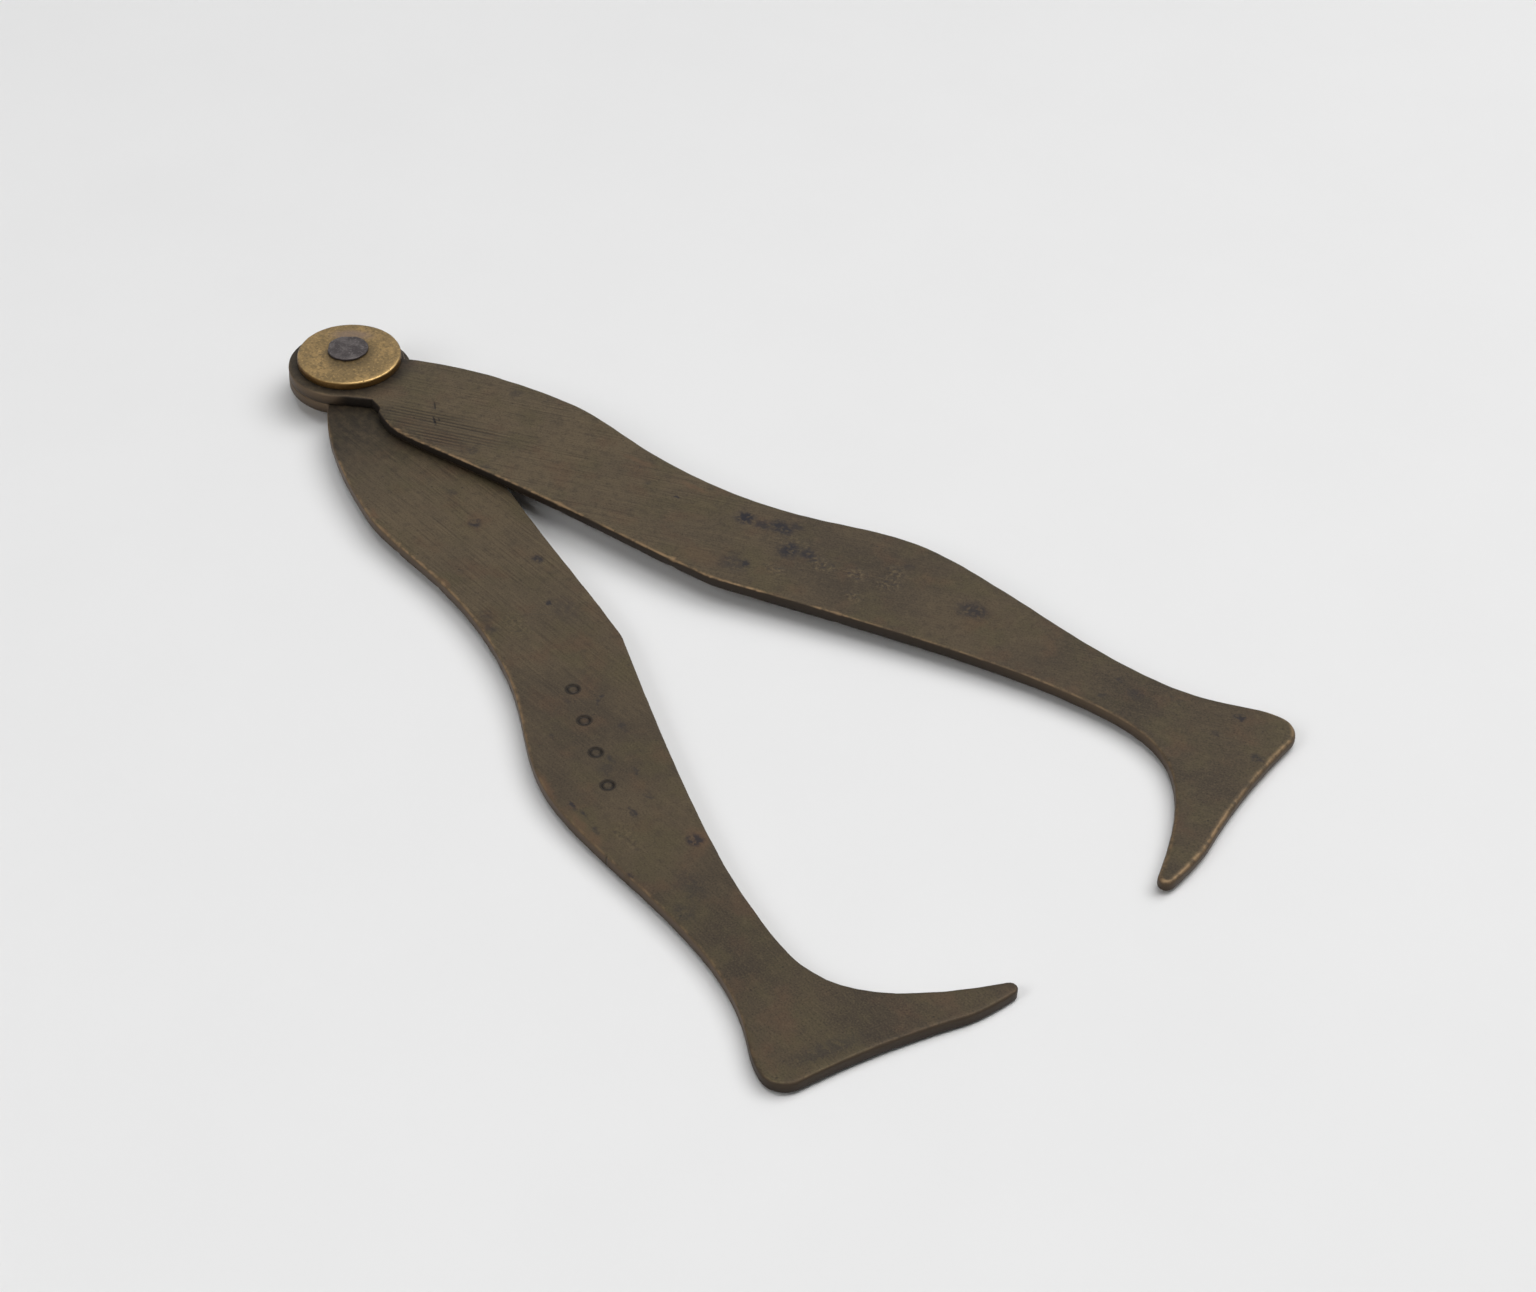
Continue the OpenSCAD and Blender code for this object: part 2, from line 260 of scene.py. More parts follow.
class LegLook(bpy.types.PropertyGroup):
    """Finish of the two plates"""

    patina: colour("Patina", "Brown skin of the plates", (80, 69, 54))
    patina_dark: colour("Dark patina", "Cloudy darker parts of the skin", (66, 57, 46))
    patina_olive: colour("Olive patina", "Greener clouds of the skin", (76, 68, 49))
    patina_red: colour("Red patina", "Redder clouds of the skin", (83, 65, 50))
    patina_gold: colour("Rubbed patina", "Ridges of the file marks", (106, 92, 70))
    stain: colour("Stain", "Purple-grey spots", (40, 38, 42))
    # Soot, also used for painted shade beside the washer, round the hip and on the walls
    soot_and_shade: colour("Soot", "Grime beside the washer and in the pits", (28, 25, 23))
    rust: colour("Rust", "Reddish-brown patches near the edges", (100, 76, 57))
    # Rubbed bare metal, also the painted highlight on the edges that face the camera
    bare: colour("Bare edge", "Metal rubbed bare along the edges", (135, 112, 85))
    wall: colour("Side wall", "Cut sides of the plates", (92, 77, 61))
    # Painted shade on the lower half of the walls
    wall_foot_shade: colour("Foot of the wall", "Dirtier lower half of the cut sides", (58, 48, 37))
    edge_round: size("Edge rounding", "Radius of a worn edge", 0.2)
    edge_band: size("Rubbed band", "Width of the rubbed band beside an edge", 0.28)
    nick: size("Nicks", "Depth of the nicks in the edges", 0.2)
    hollow: size("Hollows", "Depth of the shallow hollows in the hand-filed faces", 0.03)
    outline_step: size("Outline step", "Distance between points along the outline", 0.3)
    face_step: size("Face step", "Distance between points on the flat faces", 0.8)
    ridge_pitch: size("Ridge pitch", "Distance between the coarse file ridges beside the hip", 0.46)
    ridge_depth: size("Ridge depth", "Depth of the coarse file ridges beside the hip", 0.075)


class WasherLook(bpy.types.PropertyGroup):
    """Finish of the two washers"""

    brass: colour("Brass", "Rubbed golden face", (158, 131, 86))
    tarnish: colour("Tarnish", "Duller clouds on the face", (124, 104, 70))
    veil: colour("Veil", "Purple-grey bloom beside the rivet", (128, 110, 98))
    grime: colour("Grime", "Dirt in pits and beside the rivet", (62, 53, 40))
    # Painted highlight on one stretch of the rim, also the bright specks of the grain
    rim: colour("Rim", "Bright rim", (214, 178, 118))
    wall: colour("Side wall", "Brown side", (96, 71, 36))
    rim_round: size("Rim rounding", "Radius of the worn rim", 0.2)
    crown: size("Crown", "How far the face falls towards the rim", 0.06)
    crown_reach: size("Crown reach", "Width of the falling edge of the face", 1.3)
    dents: size("Dents", "Depth of the shallow dents in the face", 0.03)
    wobble: size("Wobble", "How far the rim strays from a true circle", 0.04)
    turns: IntProperty(name="Steps", description="Points round a washer", default=128, min=32, max=512)


class RivetLook(bpy.types.PropertyGroup):
    """Finish of the rivet"""

    iron: colour("Iron", "Purple-grey hammered iron", (90, 84, 83))
    glint: colour("Glint", "Bright grains", (142, 135, 134))
    # Soot, also used for painted shade on the sides of the heads
    soot_and_shade: colour("Soot", "Dark patches and sides of the heads", (52, 46, 47))
    head_round: size("Head rounding", "Radius round the heads", 0.14)
    hammer: size("Hammering", "Depth of the hammer marks", 0.06)
    wobble: size("Wobble", "How far a head strays from its outline", 0.04)
    turns: IntProperty(name="Steps", description="Points round a head", default=96, min=32, max=512)


class StageLook(bpy.types.PropertyGroup):
    """Floor, light and camera"""

    floor: colour("Floor", "Pale paper floor", (238, 238, 238))
    floor_side: distance("Floor side", "Side of the floor", 3)
    floor_drop: size("Floor drop", "How far the floor lies under the rivet", 0.6)
    floor_rise: size("Rise to the feet", "How far the floor rises from the rivet to the feet", 2.17)
    floor_swell: size("Swell", "How far the floor rises or falls from there to each foot", 0.66)
    floor_ease: size("Swell width", "Distance over which the floor rises from one foot to the other", 10)
    floor_sag: size("Sag", "How far the floor sags half way along one leg and swells under the other", 0.22)
    far_from: distance("Far floor from", "Distance from the pivot where the floor starts to be pale", 0.1)
    far_to: distance("Far floor to", "Distance from the pivot where the floor is palest", 1.35)
    far_glow: number("Far glow", "Paleness added to the far floor where it is seen or mirrored", 0.6)
    eye: FloatVectorProperty(
        name="Camera place",
        description="Where the camera stands",
        subtype="TRANSLATION",
        unit="LENGTH",
        default=(203.917 * MM, -131.945 * MM, 173.761 * MM),
    )
    heading: angle("Heading", "Turn of the camera from X", 136.913)
    pitch: angle("Pitch", "How far the camera looks down", 40.792)
    roll: angle("Roll", "Tilt of the camera", 1.883)
    lens: number("Lens", "Focal length on a 36 mm sensor, in millimetres", 68.2)
    light: number("Light", "Share of the power of all lamps", 1, min=0)
    light_reach: distance("Light distance", "Distance of the lamps", 0.9)
    fill: number("Fill", "Strength of the light from all round", 0.12)
    backdrop: number("Backdrop", "Paleness of the room that is seen or mirrored", 0.8)


# Outlines read from the frame


def flat_loops(node, top):
    """Closed loops of points round the flat top or underside of a CAD node, longest first."""
    solid = bmesh.new()
    solid.from_mesh(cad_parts[node].data)
    bmesh.ops.remove_doubles(solid, verts=solid.verts, dist=WELD)
    heights = [v.co.z for v in solid.verts]
    level = max(heights) if top else min(heights)
    flat = {f for f in solid.faces if all(abs(v.co.z - level) < WELD for v in f.verts)}
    solid.edges.index_update()
    left = {e.index: e for e in solid.edges if sum(f in flat for f in e.link_faces) == 1}
    loops = []
    while left:
        start, vert = left.pop(min(left)).verts
        loop = [start]
        while vert is not start:
            loop.append(vert)
            edge = next(e for e in vert.link_edges if e.index in left)
            del left[edge.index]
            vert = edge.other_vert(vert)
        loops.append(np.array([v.co.xy for v in loop]))
    solid.free()
    loops = [loop if area(loop) > 0 else loop[::-1] for loop in loops]
    return sorted(loops, key=lambda loop: np.linalg.norm(steps(loop), axis=1).sum(), reverse=True)


def steps(loop):
    """Step from each point of a closed loop to the next."""
    return np.roll(loop, -1, 0) - loop


def area(loop):
    """Area of a closed loop, above zero where it runs counter-clockwise."""
    ahead = np.roll(loop, -1, 0)
    return (loop[:, 0] * ahead[:, 1] - loop[:, 1] * ahead[:, 0]).sum() / 2


def unit(ways):
    """Ways of length one."""
    return ways / np.linalg.norm(ways, axis=1)[:, None]


def even_points(loop, step):
    """Points about one step apart round a closed loop, with its sharp corners kept."""
    ways = unit(steps(loop))
    behind = np.roll(ways, 1, 0)
    turns = np.arccos(np.clip((ways * behind).sum(1), -1, 1))
    corners = np.flatnonzero(turns > CORNER)
    if not len(corners):
        corners = np.array([0])
    loop = np.roll(loop, -corners[0], 0)
    corners = corners - corners[0]
    runs = []
    for first, last in zip(corners, [*corners[1:], len(loop)]):
        run = loop[np.arange(first, last + 1) % len(loop)]
        gone = np.concatenate([[0], np.cumsum(np.linalg.norm(np.diff(run, axis=0), axis=1))])
        at = np.linspace(0, gone[-1], max(1, round(gone[-1] / step)), endpoint=False)
        runs.append(np.column_stack([np.interp(at, gone, run[:, axis]) for axis in (0, 1)]))
    return np.concatenate(runs)


def inward(loop):
    """Way inside at each point of a counter-clockwise loop, longer at sharp corners."""
    ahead = unit(steps(loop))
    way = unit(ahead + np.roll(ahead, 1, 0))
    stretch = 1 / np.clip((way * ahead).sum(1), 0.5, 1)
    return np.column_stack([-way[:, 1], way[:, 0]]) * stretch[:, None]


def room(loop, way):
    """Radius of the largest circle inside a loop that touches it at each point."""
    gaps = loop[None, :, :] - loop[:, None, :]
    depth = (gaps * unit(way)[:, None, :]).sum(2)
    radius = (gaps ** 2).sum(2) / (2 * np.maximum(depth, WELD))
    return np.where(depth > WELD, radius, np.inf).min(1)


def within(points, loop):
    """Which points lie inside a closed loop."""
    x, y = points[:, 0, None], points[:, 1, None]
    ax, ay = loop.T
    bx, by = np.roll(loop, -1, 0).T
    rise = np.where(by == ay, 1, by - ay)
    crossed = ((ay > y) != (by > y)) & (x < ax + (y - ay) / rise * (bx - ax))
    return crossed.sum(1) % 2 == 1


def nearest(points, others):
    """Distance from each point to the nearest of the others."""
    gaps = points[:, None, :] - np.asarray(others)[None, :, :]
    return np.hypot(gaps[..., 0], gaps[..., 1]).min(1)


def ragged(points, grain, layer):
    """Smooth random shares from 0 to 1 at places, which are the same in each run."""
    depth = LAYERS[layer]
    return np.array([0.5 + 0.5 * noise.noise(Vector((x / grain, y / grain, depth))) for x, y in points])


def ease(value, low, high):
    """Smooth rise from 0 at the low value to 1 at the high one."""
    share = np.clip((value - low) / (high - low), 0, 1)
    return share * share * (3 - 2 * share)


def turned(x, y, turn):
    """Places turned about the pivot."""
    cos, sin = math.cos(turn), math.sin(turn)
    return x * cos - y * sin, x * sin + y * cos


def circle(turns):
    """Ways round a circle."""
    angles = np.linspace(0, 2 * math.pi, turns, endpoint=False)
    return np.column_stack([np.cos(angles), np.sin(angles)])


class Shell:
    """Surface of a piece, put together ring by ring."""

    def __init__(self):
        self.points = []
        self.faces = []
        self.shares = {"worn": [], "side": [], "dirt": []}

    def ring(self, places, heights, **shares):
        """Adds points with their shares of rubbed edge and painted highlight, side wall and dirt, and gives
        their numbers.
        """
        count = len(places)
        first = len(self.points)
        heights = np.broadcast_to(heights, count)
        self.points.extend((float(x), float(y), float(z)) for (x, y), z in zip(places, heights))
        for title, kept in self.shares.items():
            kept.extend(np.broadcast_to(shares.get(title, 0.0), count))
        return list(range(first, first + count))

    def worn_edge(self, inset, level, rounding, rub=0, dirt=None):
        """Adds rings round a worn edge, from its wall to its face, and gives their numbers.

        The inset gives places so far inside the edge, and the level gives heights so far from the face.
        """
        rings = []
        for slope, bare in WORN_EDGE:
            side = math.cos(slope)
            places = inset(rounding * (1 - side))
            heights = level(places, rounding * (1 - math.sin(slope)))
            held = dirt(places) * math.sin(slope) if dirt else 0
            rings.append(self.ring(places, heights, worn=rub * bare, side=side, dirt=held))
        return rings

    def bands(self, *rings):
        """Joins closed rings of as many points with quads, in their order."""
        for lower, upper in zip(rings, rings[1:]):
            self.faces += zip(lower, lower[1:] + lower[:1], upper[1:] + upper[:1], upper)

    def cap(self, ring, up):
        """Closes a ring with triangles round its middle."""
        middle = np.array([self.points[i] for i in ring]).mean(0)
        centre = self.ring([middle[:2]], middle[2])[0]
        for a, b in zip(ring, ring[1:] + ring[:1]):
            self.faces.append((a, b, centre) if up else (b, a, centre))

    def fill(self, rim, bore, loose, up):
        """Closes the face between a rim and a bore with triangles over loose points."""
        numbers = rim + bore + loose
        flat = [Vector(self.points[i][:2]) / MM for i in numbers]
        edges = [(i, (i + 1) % len(rim)) for i in range(len(rim))]
        edges += [(len(rim) + i, len(rim) + (i + 1) % len(bore)) for i in range(len(bore))]
        _, _, faces, sources, _, _ = delaunay_2d_cdt(flat, edges, [], INSIDE, CLOSE)
        hole = set(bore)
        for face in faces:
            corners = tuple(numbers[sources[i][0]] for i in face)
            if not hole.issuperset(corners):
                self.faces.append(corners if up else corners[::-1])

    def mesh(self, name):
        """The surface as a mesh, with its shares as attributes."""
        mesh = bpy.data.meshes.new(name)
        mesh.from_pydata(self.points, [], self.faces)
        for title, kept in self.shares.items():
            mesh.attributes.new(title, "FLOAT", "POINT").data.foreach_set("value", np.array(kept, np.float32))
        mesh.shade_smooth()
        mesh.set_sharp_from_angle(angle=CREASE)
        return mesh


def stand_in_for(node, name, shell, finish, body, slot):
    """Puts a dressed piece on its body in the place of a CAD node."""
    piece = bpy.data.objects.new(name, shell.mesh(name))
    piece.data.materials.append(finish)
    bpy.context.scene.collection.objects.link(piece)
    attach(piece, body)
    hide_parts(node)


# Plates of the legs


def on_leg(leg, along, across):
    """Points of the frame at places on a leg."""
    x, y = turned(along, across, HALF_OPEN)
    return np.stack([x, y * leg.mirror], -1) * MM


def off_leg(leg, points):
    """Places along and across a leg, in millimetres, of points of the frame."""
    x, y = points.T / MM
    return turned(x, y * leg.mirror, -HALF_OPEN)


def in_blot(blot, along, across):
    """Places measured from the middle of a blot, along its own turn and across it."""
    return turned(along - blot.along, across - blot.across, -blot.turn)


def from_hip(points):
    """Distances of points from the pivot, in millimetres."""
    return np.hypot(*points.T) / MM


def punched_rings(leg):
    """Middle, inner and outer radius of each punched ring on a leg."""
    loops = flat_loops(leg.node, top=True)[2:]
    half = len(loops) // 2
    rings = []
    for outer in loops[:half]:
        middle = outer.mean(0)
        inner = min(loops[half:], key=lambda loop: np.linalg.norm(loop.mean(0) - middle))
        radii = [np.linalg.norm(loop - middle, axis=1).mean() for loop in (inner, outer)]
        rings.append((middle, *radii))
    return rings


def hollowed(points, look):
    """How far a hand-filed face lies under true, but for the round head that bears the joint."""
    return look.hollow * ease(from_hip(points), *HOLLOWS_IN) * ragged(points, 7 * MM, "hollow")


def ridged(leg, points, look):
    """Shares of their full depth of the coarse file ridges beside the hip."""
    if not leg.ridges:
        return np.zeros(len(points))
    zone = leg.ridges
    along, across = in_blot(zone, *off_leg(leg, points))
    fade = 1 - ease(np.hypot(along / zone.long, across / zone.wide), 0.5, 1)
    sway = 1.2 * ragged(np.column_stack([along / 3, across]), 5, "ridge sway")
    groove = 0.5 - 0.5 * np.cos(2 * math.pi * (across * MM / look.ridge_pitch + sway))
    strokes = ease(ragged(np.column_stack([along / 8, across]), 0.8, "ridge strokes"), 0.3, 0.6)
    return ease(from_hip(points), *RIDGES_IN) * fade * groove * (0.35 + 0.65 * strokes)


def sunk(leg, points, look):
    """How far the upper face of a leg lies under true."""
    return hollowed(points, look) + look.ridge_depth * ridged(leg, points, look)


def raised(leg, points, look):
    """How far the underside of a leg lies over true, more so where its thigh was filed thin."""
    along, _ = off_leg(leg, points)
    thigh = ease(along, *THIGH_IN) * (1 - ease(along, *THIGH_OUT))
    return hollowed(points, look) + leg.undercut * MM * thigh


def sole(leg, points):
    """Share of the sole at places on the edge of a leg."""
    return ease(off_leg(leg, points)[0], *SOLE_IN)


def rubbing(leg, points, way):
    """Share of bare metal along an edge, most on the thighs and feet, with a painted highlight on the edges
    that face the camera.
    """
    along, _ = off_leg(leg, points)
    # Edges that face the camera get a painted highlight as well as wear
    share = 0.1 + 0.9 * ease(unit(way) @ WEAR_AND_HIGHLIGHT_WAY, -0.3, 0.4)
    share *= 0.35 + 0.65 * ease(from_hip(points), *RUBBING_IN)
    share *= 1 - 0.45 * ease(along, *CALF_IN)
    foot = sole(leg, points)
    share = share * (1 - foot) + leg.foot_rub * foot
    broken = ease(ragged(points, 3.5 * MM, "rubbing"), 0.05, 0.5)
    broken *= 0.5 + 0.7 * ragged(points, 0.9 * MM, "fine rubbing")
    # A sole is rubbed more evenly
    return share * (broken + 0.6 * foot * (0.85 - broken))


def face_points(outline, bore, rings, look):
    """Points spread over a flat face, clear of its edges, bore and punched rings."""
    step = look.face_step
    low, high = outline.min(0), outline.max(0)
    rows = np.arange(low[1], high[1], step * math.sqrt(3) / 2)
    columns = np.arange(low[0], high[0], step)
    grid = np.array([(x + (row % 2) * step / 2, y) for row, y in enumerate(rows) for x in columns])
    grid = grid[within(grid, outline)]
    kept = nearest(grid, outline) > step
    kept &= nearest(grid, bore) > step / 2
    kept &= ~within(grid, bore)
    for middle, _, outer in rings:
        kept &= np.hypot(*(grid - middle).T) > outer + step / 2
    return grid[kept]


def ridge_points(leg, rim, look):
    """Rows of points along the coarse file ridges, inside a rim."""
    zone = leg.ridges
    row = look.ridge_pitch / MM / 5
    along = np.arange(-zone.long, zone.long, 8 * row)
    across = np.arange(-zone.wide, zone.wide, row)
    u, v = (grid.ravel() for grid in np.meshgrid(along, across))
    kept = np.hypot(u / zone.long, v / zone.wide) < 1
    u, v = u[kept], v[kept]
    along, across = turned(u, v, zone.turn)
    points = on_leg(leg, zone.along + along, zone.across + across)
    points = points[within(points, rim)]
    return points[nearest(points, rim) > row * MM]


def ring_points(middle, inner, outer, depth):
    """Points on circles over one punched ring, how deep the punch has pressed each, and its dirt."""
    way = circle(RING_TURNS)
    # The punch was held a little aslant, so one side of the ring is deeper
    slant = 0.8 + 0.2 * way @ turned(1, 0, PUNCH_SLANT)
    points = [middle[None, :]]
    depths = [[MIDDLE_DEPTH * depth]]
    dirt = [[MIDDLE_DIRT]]
    for radius in (0.6 * inner, *np.linspace(inner, outer, 6), outer + 0.08 * MM, outer + 0.18 * MM):
        share = np.clip((radius - inner) / (outer - inner), 0, 1)
        pressed = math.sin(math.pi * share) ** 0.7 if 0 < share < 1 else 0
        lip = MIDDLE_DEPTH if radius <= inner else 0
        points.append(middle + radius * way)
        depths.append(depth * np.maximum(pressed * slant, lip))
        rim = EDGE_DIRT if inner <= radius < outer + 0.1 * MM else MIDDLE_DIRT if radius < inner else 0
        dirt.append(np.full(len(way), max(1.4 * pressed, rim)))
    return np.concatenate(points), np.concatenate(depths), np.concatenate(dirt)


def leg_shell(leg, look):
    """Plate of a leg with rounded, nicked edges, hand-filed faces and punched rings."""
    low, high = (corner.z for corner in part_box(leg.node))
    outline, bore = (even_points(loop, look.outline_step) for loop in flat_loops(leg.node, top=False)[:2])
    rings = punched_rings(leg)
    way = inward(outline)
    rub = rubbing(leg, outline, way)
    # A rubbed sole is rounder and more even
    foot = leg.foot_rub * sole(leg, outline)
    uneven = (ragged(outline, 2 * MM, "edge") - 0.5) * (1 - 0.75 * foot)
    rounding = look.edge_round * (1 + 0.9 * uneven) * (1 + foot)
    for nick in leg.nicks:
        gap = np.hypot(*(outline - on_leg(leg, *nick)).T)
        rounding = rounding + look.nick * np.exp(-((gap / NICK_WIDTH) ** 2))
    # Edges that lie close together share the room between them
    space = room(outline, way)
    rounding = np.minimum(rounding, 0.5 * space)
    rubbed = np.minimum(rounding + look.edge_band, 0.75 * space)

    def inset(depth):
        return outline + way * np.reshape(depth, (-1, 1))

    def under(places, drop=0):
        return low + raised(leg, places, look) + drop

    def over(places, drop=0):
        return high - sunk(leg, places, look) - drop

    def dirt(places):
        return ridged(leg, places, look)

    shell = Shell()
    rim = inset(rubbed)
    lower_rim = shell.ring(rim, under(rim))
    lower_edge = shell.worn_edge(inset, under, rounding, rub)
    upper_edge = shell.worn_edge(inset, over, rounding, rub, dirt)
    upper_rim = shell.ring(rim, over(rim), dirt=dirt(rim))
    shell.bands(lower_rim, *reversed(lower_edge), *upper_edge, upper_rim)

    lower_bore = shell.ring(bore, low, side=1)
    upper_bore = shell.ring(bore, high, side=1)
    shell.bands(upper_bore, lower_bore)
    plain = face_points(outline, bore, [], look)
    shell.fill(lower_rim, lower_bore, shell.ring(plain, under(plain)), up=False)
    loose = face_points(outline, bore, rings, look)
    if leg.ridges:
        rows = ridge_points(leg, rim, look)
        loose = np.concatenate([loose[nearest(loose, rows) > look.face_step / 2], rows])
    numbers = shell.ring(loose, over(loose), dirt=dirt(loose))
    groove = high - min(v.co.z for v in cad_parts[leg.node].data.vertices if low + WELD < v.co.z)
    for middle, inner, outer in rings:
        places, depths, grime = ring_points(middle, inner, outer, groove)
        numbers += shell.ring(places, over(places, depths), dirt=grime)
    shell.fill(upper_rim, upper_bore, numbers, up=True)
    return shell


# Finishes


class Nodes:
    """A tree of shader nodes, put together socket by socket."""

    def __init__(self, tree):
        self.tree = tree

    def node(self, kind, inputs, **settings):
        """Adds a node with its settings, and links or sets its inputs."""
        node = self.tree.nodes.new(kind)
        for name, value in settings.items():
            setattr(node, name, value)
        for key, value in inputs.items():
            self.feed(node.inputs[key], value)
        return node

    def feed(self, socket, value):
        """Links a socket to another, or sets its value, which for a colour gets a fourth number."""
        if isinstance(value, bpy.types.NodeSocket):
            self.tree.links.new(value, socket)
        else:
            socket.default_value = (*value, 1) if socket.type == "RGBA" else value

    def vector(self, operation, *values):
        """A vector sum on one or two vectors."""
        node = self.node("ShaderNodeVectorMath", dict(enumerate(values)), operation=operation)
        return node.outputs["Value" if operation == "LENGTH" else "Vector"]

    def math(self, operation, *values):
        """A sum on two or more numbers, taken one after the other."""

        def pair(first, second):
            return self.node("ShaderNodeMath", {0: first, 1: second}, operation=operation).outputs[0]

        return reduce(pair, values)

    # Product, sum and largest of numbers
    times = partialmethod(math, "MULTIPLY")
    plus = partialmethod(math, "ADD")
    most = partialmethod(math, "MAXIMUM")

    def ease(self, value, low, high, start, end):
        """Smooth change from start to end as a value goes from low to high."""
        inputs = {"Value": value, 1: low, 2: high, 3: start, 4: end}
        return self.node("ShaderNodeMapRange", inputs, interpolation_type="SMOOTHSTEP").outputs[0]

    def rise(self, value, low, high, most=1.0):
        """Smooth rise from nothing at the low value to the most at the high one."""
        return self.ease(value, low, high, 0, most)

    def seen(self):
        """One where the camera or a mirror looks, and nothing for other rays."""
        rays = self.node("ShaderNodeLightPath", {}).outputs
        return self.most(rays["Is Camera Ray"], rays["Is Glossy Ray"])


class Finish(Nodes):
    """A node material."""

    def __init__(self, name):
        self.material = bpy.data.materials.new(name)
        self.material.use_nodes = True
        super().__init__(self.material.node_tree)

    def surface(self, **inputs):
        """Links or sets inputs of the shader, whose names take _ for a space, and gives the material."""
        for name, value in inputs.items():
            self.feed(self.tree.nodes["Principled BSDF"].inputs[name.replace("_", " ")], value)
        return self.material

    def place(self, turn=0.0, mirror=1):
        """Place on the piece in millimetres, turned to run along a leg."""
        spot = self.node("ShaderNodeTexCoord", {}).outputs["Object"]
        return self.moved(spot, turn=turn, scale=(1 / MM, mirror / MM, 1 / MM))

    def moved(self, vector, shift=(0, 0, 0), turn=0.0, scale=(1, 1, 1), kind="POINT"):
        """A place that is scaled, turned and shifted, or the other way round for a texture."""
        inputs = {"Vector": vector, "Location": shift, "Rotation": (0, 0, turn), "Scale": scale}
        return self.node("ShaderNodeMapping", inputs, vector_type=kind).outputs[0]

    def seen_from(self, place, middle, turn, sizes):
        """A place as seen from a middle, along a turn, in shares of two sizes."""
        return self.moved(place, (*middle, 0), turn, (*sizes, 1), kind="TEXTURE")

    def noise(self, vector, scale, detail, output=0):
        """Cloudy noise with so many clouds to the millimetre."""
        inputs = {"Vector": vector, "Scale": scale, "Detail": detail}
        return self.node("ShaderNodeTexNoise", inputs).outputs[output]

    def file_lines(self, place, turn, per_mm, stretch):
        """Fine lines along a turn, so many to the millimetre."""
        return self.noise(self.seen_from(place, (0, 0), turn, (stretch, 1)), per_mm, 2)

    def share(self, title):
        """One of the shares kept with the points of a piece."""
        return self.node("ShaderNodeAttribute", {}, attribute_name=title).outputs["Fac"]

    def spots(self, place, rows, stray=0.0):
        """Spots where blots lie, whose edges stray by so many millimetres."""
        if stray:
            drift = self.vector("SUBTRACT", self.noise(place, 1.3, 4, output=1), (0.5, 0.5, 0.5))
            place = self.vector("ADD", place, self.vector("MULTIPLY", drift, (2 * stray, 2 * stray, 0)))
        found = []
        for blot in rows:
            gap = self.seen_from(place, (blot.along, blot.across), blot.turn, (blot.long, blot.wide))
            found.append(self.ease(self.vector("LENGTH", gap), 0.3, 1.1, blot.depth, 0))
        return self.most(*found)

    def pits(self, place, per_mm, width, kept):
        """Small round pits, of which a share is kept."""
        cells = self.node("ShaderNodeTexVoronoi", {"Vector": place, "Scale": per_mm, "Randomness": 1})
        draw = self.node("ShaderNodeSeparateColor", {0: cells.outputs["Color"]}).outputs[0]
        chosen = self.math("LESS_THAN", draw, kept)
        return self.times(chosen, self.ease(cells.outputs["Distance"], 0, width, 1, 0))

    def coats(self, under, *rows):
        """Coats over a colour, each a paint and the factors of the share that it covers."""
        for paint, *factors in rows:
            inputs = {0: self.times(*factors), 6: under, 7: paint}
            under = self.node("ShaderNodeMix", inputs, data_type="RGBA").outputs[2]
        return under

    def relief(self, *layers):
        """Bumps of layers, each with the factors of its height in millimetres."""
        height = self.plus(*(self.times(*factors) for factors in layers))
        return self.node("ShaderNodeBump", {"Strength": 1.0, "Distance": MM, "Height": height}).outputs[0]


def wall_paint(finish, leg, look, place, from_pivot):
    """Colour of the cut side of a leg, with painted shade on its lower half, along it and beside the hip, and
    darker on a sole.
    """
    low, high = (corner.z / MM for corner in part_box(leg.node))
    along, across, height = finish.node("ShaderNodeSeparateXYZ", {0: place}).outputs
    rise = finish.rise
    # Painted shade along the walls, fading out towards the feet, and deepest beside the hip on the near wall
    # of the thigh, where it stands over the other plate
    grime = finish.times(rise(from_pivot, 7, 12, 0.85), finish.ease(from_pivot, 70, 92, 1, 0.2))
    hip = finish.times(rise(along, 2.4, 3.8), rise(across, -2.6, -3.6), rise(along, 40, 22))
    grime = finish.times(finish.most(grime, hip), leg.wall_grime)
    # Soles are darker too, less so where they are rubbed
    grime = finish.plus(grime, rise(along, 94, 99, 0.8 * (1 - leg.foot_rub)))
    # Darker towards the foot of the wall: painted shade
    return finish.coats(look.wall_foot_shade, (look.wall, rise(height, low, high - 0.2)), (look.soot_and_shade, grime))


